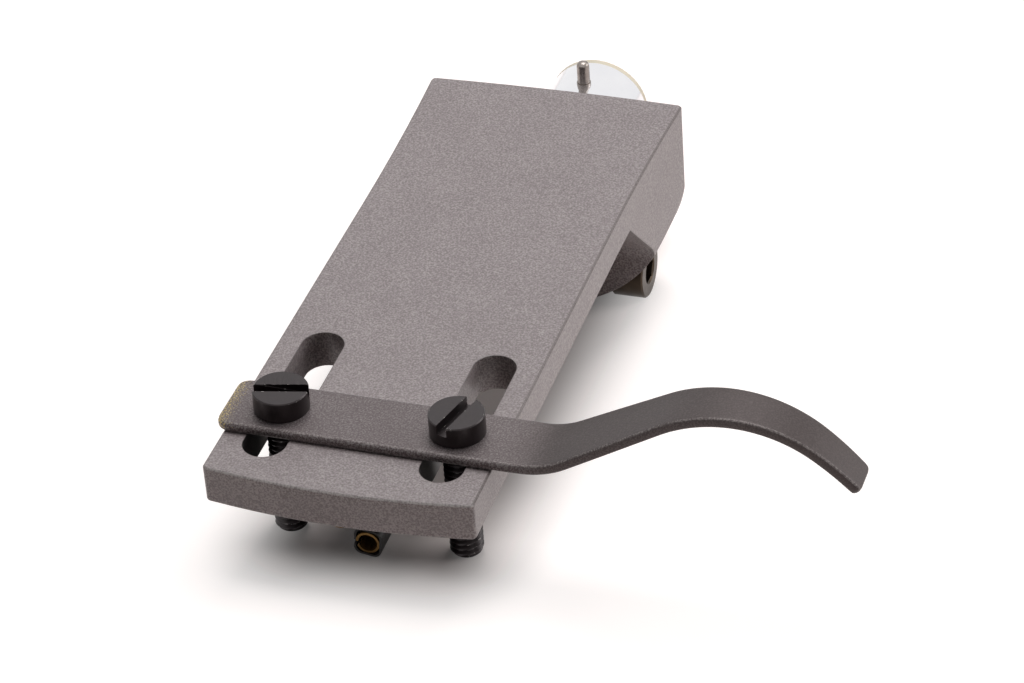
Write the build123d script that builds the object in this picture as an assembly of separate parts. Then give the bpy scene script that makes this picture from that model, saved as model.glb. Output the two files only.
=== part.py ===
from build123d import *
import os
from math import cos, sin, tan, radians

# Turntable headshell with a half-inch slotted plate and an 8 mm bayonet plug.
# Millimetres. X runs to the right, Y to the rear along the plug, Z up.
# The origin is on the plug's axis, in the plane where the plug leaves the shell.

# Plate
shell_length = 50.95
front_half_width = 9.65
waist_half_width = 9.59
rear_half_width = 10.08
waist_y = -18.0
front_bow = 0.76
rear_bow = 0.24
plate_thickness = 2.87
axis_below_top = 7.6
front_corner_radius = 0.4
rear_corner_radius = 0.35
lower_edge_radius = 0.15
top_edge_break = 0.12

# Slots for the cartridge screws
slot_spacing = 12.7
slot_width = 3.1
slot_length = 14.7
slot_front_margin = 1.92

# Block round the plug
block_length = 7.95
gusset_angle = 45.0
gusset_length = 5.5
gusset_blend_radius = 3.0
underside_front_radius = 11.05
underside_front_below_screw = 1.49
underside_rear_spread = 0.02
underside_rear_below_screw = 3.0
block_rear_radius = 0.25

# Plug
plug_radius = 4.0
plug_wall = 0.6
plug_reach = 10.4
plug_rim = 0.55
plug_bore_clearance = 0.03
plug_seat = 0.25

# Locating pin
pin_radius = 0.5
pin_height = 2.1
pin_from_end = 3.8
pin_collar_radius = 0.56
pin_collar_height = 0.25
pin_root = 0.5

# Insulator and contacts
insulator_clearance = 0.02
insulator_front_recess = 0.4
contact_offset = 1.4
contact_radius = 0.62
contact_nose_radius = 0.8
contact_nose_length = 0.8
contact_tail_length = 3.6
contact_clearance = 0.02

# Rubber washer at the plug's root
washer_radius = 5.6
washer_thickness = 0.6
washer_clearance = 0.05

# Pinch slit and its clamp screw
slit_width = 0.8
clamp_screw_below_plug = 0.15
clamp_head_radius = 2.25
clamp_head_length = 2.5
clamp_head_right = 8.0
clamp_shank_radius = 1.25
clamp_shank_length = 10.0
clamp_hole_clearance = 0.06
clamp_pocket_clearance = 0.15
clamp_hex_across = 2.0
clamp_hex_depth = 1.2
clamp_hex_mouth = 0.12
clamp_head_edge = 0.12

# Finger lift
lift_thickness = 0.7
lift_front_reach = 2.75
lift_rear_reach = 2.55
lift_left_overhang = 0.59
lift_bend_overhang = 2.08
lift_bend_radius = 5.67
lift_rise_angle = 29.6
lift_rise_length = 7.47
lift_arch_radius = 9.93
lift_arch_angle = 66.6
lift_end_radius = 20.1
lift_end_angle = 11.2
lift_taper_before_bend = 2.5
lift_waist_from_bend = 11.4
lift_waist_width = 3.97
lift_tip_from_bend = 23.07
lift_tip_width = 2.76
lift_left_corner = 1.0
lift_tip_corner = 0.5
lift_turn = -0.5
lift_hole_clearance = 0.05

# Cartridge screws
screw_from_slot_front = 4.83
screw_head_radius = 1.95
screw_head_height = 1.6
screw_head_edge = 0.12
screw_shank_radius = 1.2
screw_length = 10.3
screw_tip_chamfer = 0.3
screw_slot_width = 0.8
screw_slot_depth = 0.7
screw_slot_turn_left = 13.6
screw_slot_turn_right = 75.0

# Lead clips, sleeves and wires
clip_radius = 0.92
clip_bore_radius = 0.68
clip_barrel_length = 3.8
clip_neck_length = 1.0
clip_crimp_radius = 0.62
clip_crimp_length = 1.6
sleeve_wall = 0.18
sleeve_clearance = 0.02
sleeve_set_back = 0.2
sleeve_tail = 0.8
wire_radius = 0.4
wire_clearance = 0.02
wire_lead_front = 2.6
wire_lead_rear = 2.8

# Values that follow from those above
plate_top_z = axis_below_top
plate_bottom_z = plate_top_z - plate_thickness
front_y = -shell_length
slot_x = slot_spacing / 2
slot_front_y = front_y + slot_front_margin
slot_centre_y = slot_front_y + slot_length / 2
screw_y = slot_front_y + screw_from_slot_front
lift_top_z = plate_top_z + lift_thickness
insulator_radius = plug_radius - plug_wall - insulator_clearance
plug_front_y = plug_seat - block_length
clamp_screw_z = -(plug_radius + clamp_screw_below_plug + clamp_shank_radius)
clamp_screw_y = -block_length / 2
underside_front_z = clamp_screw_z - underside_front_below_screw + underside_front_radius
underside_rear_radius = rear_half_width + underside_rear_spread
underside_rear_z = clamp_screw_z - underside_rear_below_screw + underside_rear_radius
lift_left = front_half_width + lift_left_overhang
lift_bend_x = front_half_width + lift_bend_overhang
clip_length = clip_barrel_length + clip_neck_length + clip_crimp_length


def cylinder_along_y(radius, y0, y1, x=0.0, z=0.0):
    disc = Plane((x, y0, z), x_dir=(1, 0, 0), z_dir=(0, 1, 0)) * Circle(radius)
    return extrude(disc, y1 - y0)


def cylinder_along_x(radius, x0, x1, y, z):
    disc = Plane((x0, y, z), x_dir=(0, 1, 0), z_dir=(1, 0, 0)) * Circle(radius)
    return extrude(disc, x1 - x0)


def turned_along_y(profile, x, y, z, forward=True):
    """A turned piece: profile holds (distance along the axis, radius) corners."""
    outline = make_face(Polyline(*[(r, 0, d) for d, r in profile], close=True))
    piece = revolve(outline, Axis.Z)
    turn = -90 if forward else 90
    return Pos(x, y, z) * (Rot(turn, 0, 0) * piece)


# Shell body: plan outline with bowed ends and gently flared sides
front_left = (-front_half_width, front_y)
front_right = (front_half_width, front_y)
waist_right = (waist_half_width, waist_y)
waist_left = (-waist_half_width, waist_y)
rear_right = (rear_half_width, -rear_bow)
rear_left = (-rear_half_width, -rear_bow)
straight_right = Line(front_right, waist_right)
straight_left = Line(waist_left, front_left)
outline = Wire(
    [
        ThreePointArc(front_left, (0, front_y - front_bow), front_right),
        straight_right,
        TangentArc(waist_right, rear_right, tangent=straight_right % 1),
        ThreePointArc(rear_right, (0, 0), rear_left),
        TangentArc(waist_left, rear_left, tangent=(straight_left % 0) * -1),
        straight_left,
    ]
)
plan = make_face(outline)
plan = fillet(plan.vertices().sort_by(Axis.Y)[:2], front_corner_radius)
rear_corners = plan.vertices().filter_by_position(Axis.Y, -rear_bow - 0.1, 0.1)
plan = fillet(rear_corners, rear_corner_radius)

plate = extrude(Plane.XY.offset(plate_bottom_z) * plan, plate_thickness)
plate = chamfer(plate.faces().sort_by(Axis.Z)[-1].edges(), top_edge_break)
plate = fillet(plate.faces().sort_by(Axis.Z)[0].edges(), lower_edge_radius)

# Block: side profile with a sloped, blended front, met by a rounded underside
block_front_y = -block_length
gusset_foot_y = block_front_y - gusset_length
gusset_drop = gusset_length * tan(radians(gusset_angle))
block_depth = axis_below_top + rear_half_width
side_profile = make_face(
    Polyline(
        (0, gusset_foot_y - plate_thickness / 2, plate_bottom_z + plate_thickness / 2),
        (0, gusset_foot_y, plate_bottom_z),
        (0, block_front_y, plate_bottom_z - gusset_drop),
        (0, block_front_y, -block_depth),
        (0, 1, -block_depth),
        (0, 1, plate_bottom_z + plate_thickness / 2),
        close=True,
    )
)
blend_corner = side_profile.vertices().sort_by_distance(
    (0, block_front_y, plate_bottom_z - gusset_drop)
)[0]
side_profile = fillet(blend_corner, gusset_blend_radius)
block = extrude(side_profile, rear_half_width + 1, both=True)


def round_section(y, centre_z, radius):
    """The block's section across the plug: straight sides down to a half-round bottom."""
    left = (-radius, centre_z)
    right = (radius, centre_z)
    top_right = (radius, 2 * plate_top_z)
    top_left = (-radius, 2 * plate_top_z)
    bottom = ThreePointArc(left, (0, centre_z - radius), right)
    sides = Polyline(right, top_right, top_left, left)
    return Plane((0, y, 0), x_dir=(1, 0, 0), z_dir=(0, -1, 0)) * make_face([bottom, *sides.edges()])


front_section_y = 2 * block_front_y
front_section_z = 2 * underside_front_z - underside_rear_z
front_section_radius = 2 * underside_front_radius - underside_rear_radius
round_body = loft(
    [
        round_section(front_section_y, front_section_z, front_section_radius),
        round_section(0, underside_rear_z, underside_rear_radius),
    ],
    ruled=True,
)
plan_column = extrude(Plane.XY.offset(-block_depth) * plan, block_depth + plate_top_z)
block = block & round_body & plan_column
rear_edges = block.edges().filter_by_position(Axis.Y, -3 * rear_bow, rear_bow)
bottom_edge = rear_edges.filter_by_position(Axis.Z, -block_depth, 0).sort_by(SortBy.LENGTH)[-1]
block = fillet(bottom_edge, block_rear_radius)
shell_body = plate + block

slot_shape = SlotOverall(slot_length, slot_width, rotation=90)
for side in (-1, 1):
    cut = Pos(side * slot_x, slot_centre_y, plate_bottom_z - 1) * slot_shape
    shell_body -= extrude(cut, plate_thickness + 2)

plug_bore_radius = plug_radius + plug_bore_clearance
shell_body -= cylinder_along_y(plug_bore_radius, gusset_foot_y - 1, 2)
slit = Pos(0, -block_length / 2, -block_depth / 2) * Box(slit_width, 2 * block_length, block_depth)
shell_body -= slit
bearing_x = clamp_head_right - clamp_head_length
pocket_radius = clamp_head_radius + clamp_pocket_clearance
shell_body -= cylinder_along_x(pocket_radius, bearing_x, rear_half_width + 2, clamp_screw_y, clamp_screw_z)
clamp_tip_x = bearing_x - clamp_shank_length
hole_radius = clamp_shank_radius + clamp_hole_clearance
shell_body -= cylinder_along_x(hole_radius, clamp_tip_x - 0.5, bearing_x, clamp_screw_y, clamp_screw_z)

# Plug: chromed tube held in the bore, its far end faced by the insulator's rim
plug_tube_end = plug_reach - plug_rim
plug_inner_radius = plug_radius - plug_wall
plug_tube = cylinder_along_y(plug_radius, plug_front_y, plug_tube_end)
plug_tube -= cylinder_along_y(plug_inner_radius, plug_front_y - 1, plug_tube_end + 1)
pin_y = plug_reach - pin_from_end
pin_hole_radius = pin_radius
pin_top_z = plug_radius + pin_height
pin_seat_z = plug_radius - pin_root
plug_tube -= Pos(0, pin_y, pin_seat_z) * Cylinder(
    pin_hole_radius, plug_radius, align=(Align.CENTER, Align.CENTER, Align.MIN)
)

# Locating pin: steel pin with a collar that sits on the tube and a domed top
pin_blank = Pos(0, pin_y, pin_seat_z) * Cylinder(
    pin_radius, pin_top_z - pin_seat_z, align=(Align.CENTER, Align.CENTER, Align.MIN)
)
pin_top_edge = pin_blank.edges().sort_by(Axis.Z)[-1]
pin_body = fillet(pin_top_edge, pin_radius * 0.8)
collar_sink = plug_radius - (plug_radius**2 - pin_collar_radius**2) ** 0.5
pin_collar = Pos(0, pin_y, plug_radius - collar_sink) * Cylinder(
    pin_collar_radius,
    pin_collar_height + collar_sink,
    align=(Align.CENTER, Align.CENTER, Align.MIN),
)
pin_collar -= cylinder_along_y(plug_radius, pin_y - 2, pin_y + 2)
locating_pin = pin_body + pin_collar

# Insulator: core inside the tube and a rim as wide as the tube at the far end
insulator_front_y = plug_front_y + insulator_front_recess
insulator = cylinder_along_y(insulator_radius, insulator_front_y, plug_reach)
insulator_rim = cylinder_along_y(plug_radius, plug_tube_end, plug_reach)
insulator_rim = fillet(insulator_rim.edges().sort_by(Axis.Y)[-1], 0.12)
insulator = insulator + insulator_rim
contact_hole_radius = contact_radius + contact_clearance
contact_sides = {
    "upper_left": (-1, 1),
    "upper_right": (1, 1),
    "lower_left": (-1, -1),
    "lower_right": (1, -1),
}
for sx, sz in contact_sides.values():
    insulator -= cylinder_along_y(
        contact_hole_radius,
        insulator_front_y - 1,
        plug_reach + 1,
        sx * contact_offset,
        sz * contact_offset,
    )

# Contacts: round noses at the far end, straight tails at the block's front
contact_tail_y = insulator_front_y - contact_tail_length
contact_nose_y = plug_reach + contact_nose_length
contacts = {}
for name, (sx, sz) in contact_sides.items():
    x = sx * contact_offset
    z = sz * contact_offset
    rod = cylinder_along_y(contact_radius, contact_tail_y, plug_reach, x, z)
    nose = cylinder_along_y(contact_nose_radius, plug_reach, contact_nose_y, x, z)
    nose = fillet(nose.edges().sort_by(Axis.Y)[-1], contact_nose_radius * 0.8)
    contacts[name] = rod + nose

# Rubber washer round the plug against the rear of the shell
washer = cylinder_along_y(washer_radius, 0, washer_thickness)
washer -= cylinder_along_y(plug_radius + washer_clearance, -1, washer_thickness + 1)

# Clamp screw: socket head in its pocket, shank across both ears of the block
clamp_head = cylinder_along_x(clamp_head_radius, bearing_x, clamp_head_right, clamp_screw_y, clamp_screw_z)
clamp_head = chamfer(clamp_head.edges().sort_by(Axis.X)[-1], clamp_head_edge)
clamp_screw = clamp_head + cylinder_along_x(
    clamp_shank_radius, clamp_tip_x, bearing_x, clamp_screw_y, clamp_screw_z
)
hex_plane = Plane(
    (clamp_head_right, clamp_screw_y, clamp_screw_z), x_dir=(0, 1, 0), z_dir=(-1, 0, 0)
)
hex_corner_radius = clamp_hex_across / 2 / cos(radians(30))
clamp_screw -= extrude(hex_plane * RegularPolygon(hex_corner_radius, 6), clamp_hex_depth)
hex_mouth = extrude(hex_plane * Circle(hex_corner_radius + clamp_hex_mouth / 2), clamp_hex_mouth, taper=45)
clamp_screw -= hex_mouth

# Finger lift: one strip, flat on the plate, bent up outside it and arched over
path_start = (-lift_left, lift_top_z)
bend_start = (lift_bend_x, lift_top_z)
flat_run = Line(path_start, bend_start)
bend = JernArc(bend_start, (1, 0), lift_bend_radius, lift_rise_angle)
rise_vector = Vector(cos(radians(lift_rise_angle)), sin(radians(lift_rise_angle)))
rise_end = bend @ 1 + rise_vector * lift_rise_length
rise = Line(bend @ 1, rise_end)
arch = JernArc(rise_end, rise % 1, lift_arch_radius, -lift_arch_angle)
end_run = JernArc(arch @ 1, arch % 1, lift_end_radius, -lift_end_angle)
under_flat = Line((-lift_left, plate_top_z), (lift_bend_x, plate_top_z))
under_bend = JernArc(under_flat @ 1, (1, 0), lift_bend_radius + lift_thickness, lift_rise_angle)
under_rise = Line(under_bend @ 1, under_bend @ 1 + rise_vector * lift_rise_length)
under_arch = JernArc(
    under_rise @ 1, rise % 1, lift_arch_radius - lift_thickness, -lift_arch_angle
)
under_end = JernArc(
    under_arch @ 1, under_arch % 1, lift_end_radius - lift_thickness, -lift_end_angle
)
strip = make_face(
    Wire(
        [
            flat_run,
            bend,
            rise,
            arch,
            end_run,
            Line(end_run @ 1, under_end @ 1),
            under_end,
            under_arch,
            under_rise,
            under_bend,
            under_flat,
            Line(path_start, (-lift_left, plate_top_z)),
        ]
    )
)
strip = Plane((0, 0, 0), x_dir=(1, 0, 0), z_dir=(0, -1, 0)) * strip
strip = extrude(strip, lift_front_reach + lift_rear_reach, both=True)
lift_half = (lift_front_reach + lift_rear_reach) / 2
lift_shift = (lift_rear_reach - lift_front_reach) / 2
taper_x = lift_bend_x - lift_taper_before_bend
waist_x = lift_bend_x + lift_waist_from_bend
tip_x = lift_bend_x + lift_tip_from_bend
tip_slope = 0.75 * (lift_waist_width - lift_tip_width) / (tip_x - waist_x)
past_tip = 3 * lift_thickness


def lift_side(sign):
    """One long edge of the lift in plan, from the taper's start to past the tip."""
    start = (taper_x, sign * lift_half)
    waist = (waist_x, sign * lift_waist_width / 2)
    tip = (tip_x, sign * lift_tip_width / 2)
    past = (tip_x + past_tip, sign * (lift_tip_width / 2 - tip_slope * past_tip))
    curve = Spline(start, waist, tip, tangents=[(1, 0), (1, -sign * tip_slope)])
    return [Line((-lift_left, sign * lift_half), start), curve, Line(tip, past)]


front_side = lift_side(-1)
rear_side = lift_side(1)
far_end = Line(front_side[-1] @ 1, rear_side[-1] @ 1)
left_end = Line(front_side[0] @ 0, rear_side[0] @ 0)
lift_plan = make_face(Wire([*front_side, far_end, *rear_side, left_end]))
left_corners = lift_plan.vertices().sort_by(Axis.X)[:2]
lift_plan = fillet(left_corners, lift_left_corner)
lift_column = extrude(Pos(0, lift_shift, 0) * lift_plan, 4 * axis_below_top)
finger_lift = strip & lift_column
end_middle = (end_run @ 1 + under_end @ 1) / 2
end_face = finger_lift.faces().sort_by_distance((end_middle.X, lift_shift, end_middle.Y))[0]
tip_edges = end_face.edges().sort_by(SortBy.LENGTH)[:2]
finger_lift = fillet(tip_edges, lift_tip_corner)
finger_lift = Pos(0, screw_y, 0) * (Rot(0, 0, lift_turn) * finger_lift)
lift_hole_radius = screw_shank_radius + lift_hole_clearance
for side in (-1, 1):
    finger_lift -= Pos(side * slot_x, screw_y, plate_top_z - 1) * Cylinder(
        lift_hole_radius, lift_thickness + 2, align=(Align.CENTER, Align.CENTER, Align.MIN)
    )


# Cartridge screws: slotted cheese heads on the lift, ends below the plate
def cartridge_screw(x, slot_turn):
    bottom_up = (Align.CENTER, Align.CENTER, Align.MIN)
    head = Cylinder(screw_head_radius, screw_head_height, align=bottom_up)
    head = chamfer(head.edges().sort_by(Axis.Z)[-1], screw_head_edge)
    cutter = Box(4 * screw_head_radius, screw_slot_width, screw_slot_depth, align=bottom_up)
    head -= Pos(0, 0, screw_head_height - screw_slot_depth) * (Rot(0, 0, slot_turn) * cutter)
    shank = Pos(0, 0, -screw_length) * Cylinder(screw_shank_radius, screw_length, align=bottom_up)
    shank = chamfer(shank.edges().sort_by(Axis.Z)[0], screw_tip_chamfer)
    return Pos(x, screw_y, lift_top_z) * (head + shank)


screw_left = cartridge_screw(-slot_x, screw_slot_turn_left)
screw_right = cartridge_screw(slot_x, screw_slot_turn_right)


# Lead clips: a spring barrel, a neck and a crimp, each in a black sleeve
def clip(mouth, forward):
    neck_end = clip_barrel_length + clip_neck_length
    profile = [
        (0, clip_bore_radius),
        (0, clip_radius),
        (clip_barrel_length, clip_radius),
        (neck_end, clip_crimp_radius),
        (clip_length, clip_crimp_radius),
        (clip_length, 0),
        (clip_barrel_length, 0),
        (clip_barrel_length, clip_bore_radius),
    ]
    return turned_along_y(profile, *mouth, forward)


def sleeve(mouth, forward):
    neck_end = clip_barrel_length + clip_neck_length
    wide = clip_radius + sleeve_clearance
    narrow = clip_crimp_radius + sleeve_clearance
    on_wire = wire_radius + wire_clearance
    step_end = clip_length + sleeve_clearance
    far = clip_length + sleeve_tail
    profile = [
        (sleeve_set_back, wide),
        (sleeve_set_back, wide + sleeve_wall),
        (clip_barrel_length + sleeve_wall / 2, wide + sleeve_wall),
        (neck_end + sleeve_wall / 2, narrow + sleeve_wall),
        (clip_length, narrow + sleeve_wall),
        (far, on_wire + sleeve_wall),
        (far, on_wire),
        (step_end, on_wire),
        (step_end, narrow),
        (neck_end + sleeve_clearance, narrow),
        (clip_barrel_length + sleeve_clearance, wide),
    ]
    return turned_along_y(profile, *mouth, forward)


rear_mouth_y = insulator_front_y - contact_clearance
front_mouth_places = {
    "lower_right": (0.17, 4.01, 5.06),
    "lower_left": (-1.8, 4.01, 3.23),
    "upper_right": (2.2, 4.45, 1.83),
    "upper_left": (-0.1, 4.65, 1.53),
}
front_mouths = {
    name: (x, front_y + from_front, plate_bottom_z - below_plate)
    for name, (x, from_front, below_plate) in front_mouth_places.items()
}
rear_clips = {}
rear_sleeves = {}
front_clips = {}
front_sleeves = {}
for name, (sx, sz) in contact_sides.items():
    rear_mouth = (sx * contact_offset, rear_mouth_y, sz * contact_offset)
    rear_clips[name] = clip(rear_mouth, False)
    rear_sleeves[name] = sleeve(rear_mouth, False)
    front_clips[name] = clip(front_mouths[name], True)
    front_sleeves[name] = sleeve(front_mouths[name], True)


# Lead wires: tubes of straight runs joined by tangent arcs
def wire_path(points):
    radii = []
    for before, here, after in zip(points, points[1:], points[2:]):
        run_in = Vector(*here) - Vector(*before)
        run_out = Vector(*after) - Vector(*here)
        half_turn = radians(run_in.get_angle(run_out) / 2)
        radii.append(0.45 * min(run_in.length, run_out.length) / tan(half_turn))
    path = FilletPolyline(*points, radius=radii)
    print("radii", [round(value, 1) for value in radii], "length", round(path.length, 2))
    return path


def wire(points):
    path = wire_path(points)
    start = Plane(origin=path @ 0, z_dir=path % 0)
    return sweep(start * Circle(wire_radius), path=path)


# Each bend: share of the way from front to rear, then its offset in X and Z
wire_bends = {
    "lower_right": [(0.14, -2.6, -0.2), (0.37, -6.2, -0.9), (0.62, -4.9, -1.1), (0.86, -0.6, -0.5)],
    "lower_left": [(0.14, -3.0, 0.1), (0.37, -6.0, -0.1), (0.63, -5.4, -0.3), (0.87, -2.1, -0.1)],
    "upper_right": [(0.16, 0.8, 0.7), (0.39, 5.0, 1.4), (0.62, 6.4, 1.5), (0.84, 3.9, 0.8)],
    "upper_left": [(0.15, -3.1, 0.1), (0.38, -6.6, 0.2), (0.63, -6.2, 0.4), (0.87, -2.6, 0.2)],
}
wires = {}
for name, (sx, sz) in contact_sides.items():
    mx, my, mz = front_mouths[name]
    front_end = (mx, my + clip_length, mz)
    front_turn = (mx, my + clip_length + wire_lead_front, mz)
    cx = sx * contact_offset
    cz = sz * contact_offset
    rear_end = (cx, rear_mouth_y - clip_length, cz)
    rear_turn = (cx, rear_mouth_y - clip_length - wire_lead_rear, cz)
    span = Vector(*rear_turn) - Vector(*front_turn)
    bends = []
    for share, dx, dz in wire_bends[name]:
        point = Vector(*front_turn) + span * share + Vector(dx, 0, dz)
        bends.append((round(point.X, 2), round(point.Y, 2), round(point.Z, 2)))
    wires[name] = wire([front_end, front_turn, *bends, rear_turn, rear_end])

nodes = {
    "shell_body": shell_body,
    "plug_tube": plug_tube,
    "locating_pin": locating_pin,
    "plug_insulator": insulator,
    "seal_washer": washer,
    "clamp_screw": clamp_screw,
    "finger_lift": finger_lift,
    "cartridge_screw_left": screw_left,
    "cartridge_screw_right": screw_right,
}
for name in contact_sides:
    nodes["contact_" + name] = contacts[name]
    nodes["rear_clip_" + name] = rear_clips[name]
    nodes["rear_sleeve_" + name] = rear_sleeves[name]
    nodes["front_clip_" + name] = front_clips[name]
    nodes["front_sleeve_" + name] = front_sleeves[name]
    nodes["lead_wire_" + name] = wires[name]

os.makedirs("parts", exist_ok=True)
for name, shape in nodes.items():
    export_step(shape, "parts/" + name + ".step")
    print(name, "volume", round(shape.volume, 2))
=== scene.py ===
import random
from math import atan2, cos, pi, radians, sin
from types import SimpleNamespace

import bmesh
import bpy
from mathutils import Matrix, Vector


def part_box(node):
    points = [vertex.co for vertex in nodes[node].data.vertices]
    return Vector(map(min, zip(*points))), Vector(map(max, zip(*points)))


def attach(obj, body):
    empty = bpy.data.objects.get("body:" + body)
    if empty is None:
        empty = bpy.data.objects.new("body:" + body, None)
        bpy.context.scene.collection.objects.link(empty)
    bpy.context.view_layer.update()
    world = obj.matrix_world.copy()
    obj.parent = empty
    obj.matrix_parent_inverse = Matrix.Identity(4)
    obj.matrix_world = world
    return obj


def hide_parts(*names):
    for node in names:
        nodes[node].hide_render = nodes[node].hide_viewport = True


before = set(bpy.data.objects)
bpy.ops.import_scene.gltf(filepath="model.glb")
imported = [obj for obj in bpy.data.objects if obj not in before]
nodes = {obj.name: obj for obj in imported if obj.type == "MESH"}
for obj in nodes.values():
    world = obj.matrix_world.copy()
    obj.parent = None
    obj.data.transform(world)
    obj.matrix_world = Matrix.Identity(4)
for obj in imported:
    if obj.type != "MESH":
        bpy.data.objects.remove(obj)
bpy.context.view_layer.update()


# Shell body. One die-cast piece of light alloy: the slotted plate and the deep
# block at its rear. It is sprayed with a grey metallic paint, which covers every
# face. Its forward edges carry a pale painted highlight and its other edges a darker tone.
MM = 0.001
# The spray: clouds of thinner and thicker paint, and the grain that the flakes raise in it
cloud_width = 3.0 * MM
cloud_share = 0.1
grain_height = 0.02 * MM
darkest_at, lightest_at = 0.33, 0.67
# Faces that look forwards get more speck contrast, a painted sparkle: a normal's Y where that starts and
# where it is full
forward_from, forward_full = -0.1, -0.4
flake_contrast, extra_forward = 1.05, 1.2
# Edge marks start, and are full, where a rounded normal agrees so far with its flat face's: a pale
# painted highlight where the edge faces forwards, a darker tone elsewhere. They also lie on the narrow
# face that breaks the top edge, whose normal's Z this is
edge_from, edge_full = 0.995, 0.93
edge_mark_share = 0.85
break_face_z = 0.707
# The edge marks are ragged: the flake noise where they are least, and where they are full
ragged_from, ragged_full = 0.4, 0.56
least_edge_mark = 0.25


def linear(code):
    """An sRGB hex colour as the linear RGBA that shaders take."""
    channels = [int(code[i:i + 2], 16) / 255 for i in (1, 3, 5)]
    return [c / 12.92 if c <= 0.04045 else ((c + 0.055) / 1.055) ** 2.4 for c in channels] + [1.0]


def add_node(tree, kind, inputs=None, **settings):
    """Adds one node. Its inputs are values, or sockets of other nodes to link from."""
    made = tree.nodes.new(kind)
    for name, value in settings.items():
        setattr(made, name, value)
    for socket, value in (inputs or {}).items():
        if isinstance(value, bpy.types.NodeSocket):
            tree.links.new(value, made.inputs[socket])
        else:
            made.inputs[socket].default_value = value
    return made


def start_material(name):
    """An empty node material with its output, and the surface's place in metres."""
    material = bpy.data.materials.new(name)
    material.use_nodes = True
    tree = material.node_tree
    tree.nodes.clear()
    output = add_node(tree, "ShaderNodeOutputMaterial")
    place = add_node(tree, "ShaderNodeTexCoord").outputs["Object"]
    return material, tree, output, place


def dress(node_names, material):
    """Gives the named CAD nodes a material in place of their plain one."""
    for name in node_names:
        for slot in nodes[name].material_slots:
            slot.material = material


def flake_tones(tree, place, flakes, forward, dark, mid, light):
    """The colour of the spray: dark, mid and light flakes, with more contrast on forward faces as a
    painted sparkle.
    """
    clouds = add_node(tree, "ShaderNodeTexNoise",
                      {"Vector": place, "Scale": 1 / cloud_width, "Detail": 3.0})
    blend = add_node(tree, "ShaderNodeMix", {0: cloud_share, 2: flakes, 3: clouds.outputs["Fac"]})
    contrast = add_node(tree, "ShaderNodeMath", {0: forward, 1: extra_forward, 2: flake_contrast},
                        operation="MULTIPLY_ADD")
    centred = add_node(tree, "ShaderNodeMath", {0: blend.outputs[0], 1: 0.5}, operation="SUBTRACT")
    spread = add_node(tree, "ShaderNodeMath", {0: centred.outputs[0], 1: contrast.outputs[0], 2: 0.5},
                      operation="MULTIPLY_ADD")
    ramp = add_node(tree, "ShaderNodeValToRGB", {"Fac": spread.outputs[0]})
    stops = ramp.color_ramp.elements
    stops[0].position, stops[0].color = darkest_at, linear(dark)
    stops[1].position, stops[1].color = lightest_at, linear(light)
    stops.new(0.5).color = linear(mid)
    return ramp.outputs["Color"]


def edge_flecks(tree, flakes, soft_normal, break_band):
    """Where the edge marks lie: in flecks along each sharp edge and on the face that breaks it."""
    true_face = add_node(tree, "ShaderNodeNewGeometry").outputs["True Normal"]
    agreement = add_node(tree, "ShaderNodeVectorMath", {0: soft_normal, 1: true_face},
                         operation="DOT_PRODUCT")
    on_edge = add_node(tree, "ShaderNodeMapRange",
                       {"Value": agreement.outputs["Value"], "From Min": edge_from, "From Max": edge_full,
                        "To Max": edge_mark_share})
    facing = add_node(tree, "ShaderNodeSeparateXYZ", {"Vector": true_face})
    on_break = add_node(tree, "ShaderNodeMath", {0: facing.outputs["Z"], 1: break_face_z, 2: break_band},
                        operation="COMPARE")
    any_edge = add_node(tree, "ShaderNodeMath", {0: on_edge.outputs["Result"], 1: on_break.outputs[0]},
                        operation="MAXIMUM")
    ragged = add_node(tree, "ShaderNodeMapRange",
                      {"Value": flakes, "From Min": ragged_from, "From Max": ragged_full,
                       "To Min": least_edge_mark})
    return add_node(tree, "ShaderNodeMath", {0: any_edge.outputs[0], 1: ragged.outputs["Result"]},
                    operation="MULTIPLY").outputs[0]


def flake_paint(name, dark, mid, light, other_edge_tone, edge_highlight, flake_width, edge_width, break_band):
    """Metallic flake paint with a painted highlight on forward edges, darker other edges, and the nodes of
    it that more marks are laid over.

    break_band is how much a face may differ from a broken edge's, and 0 is for a piece without one.
    """
    material, tree, output, place = start_material(name)
    specks = add_node(tree, "ShaderNodeTexNoise",
                      {"Vector": place, "Scale": 1 / flake_width, "Detail": 2.0, "Roughness": 0.6})
    flakes = specks.outputs["Fac"]
    soft_normal = add_node(tree, "ShaderNodeBevel", {"Radius": edge_width}, samples=6).outputs["Normal"]
    facing = add_node(tree, "ShaderNodeSeparateXYZ", {"Vector": soft_normal})
    forward = add_node(tree, "ShaderNodeMapRange",
                       {"Value": facing.outputs["Y"], "From Min": forward_from,
                        "From Max": forward_full}).outputs["Result"]
    tones = flake_tones(tree, place, flakes, forward, dark, mid, light)
    # Edge marks: a pale painted highlight on forward edges, a darker tone on the others
    worn = edge_flecks(tree, flakes, soft_normal, break_band)
    edge_tone = add_node(tree, "ShaderNodeMix",
                         {0: forward, 6: linear(other_edge_tone), 7: linear(edge_highlight)}, data_type="RGBA")
    coat = add_node(tree, "ShaderNodeMix", {0: worn, 6: tones, 7: edge_tone.outputs[2]}, data_type="RGBA")
    grain = add_node(tree, "ShaderNodeBump",
                     {"Height": flakes, "Strength": 0.5, "Distance": grain_height, "Normal": soft_normal})
    shader = add_node(tree, "ShaderNodeBsdfPrincipled",
                      {"Base Color": coat.outputs[2], "Normal": grain.outputs["Normal"],
                       "Roughness": 0.5, "Coat Weight": 0.25, "Coat Roughness": 0.3})
    tree.links.new(shader.outputs["BSDF"], output.inputs["Surface"])
    return SimpleNamespace(material=material, tree=tree, output=output, place=place,
                           flakes=flakes, shader=shader)


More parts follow.
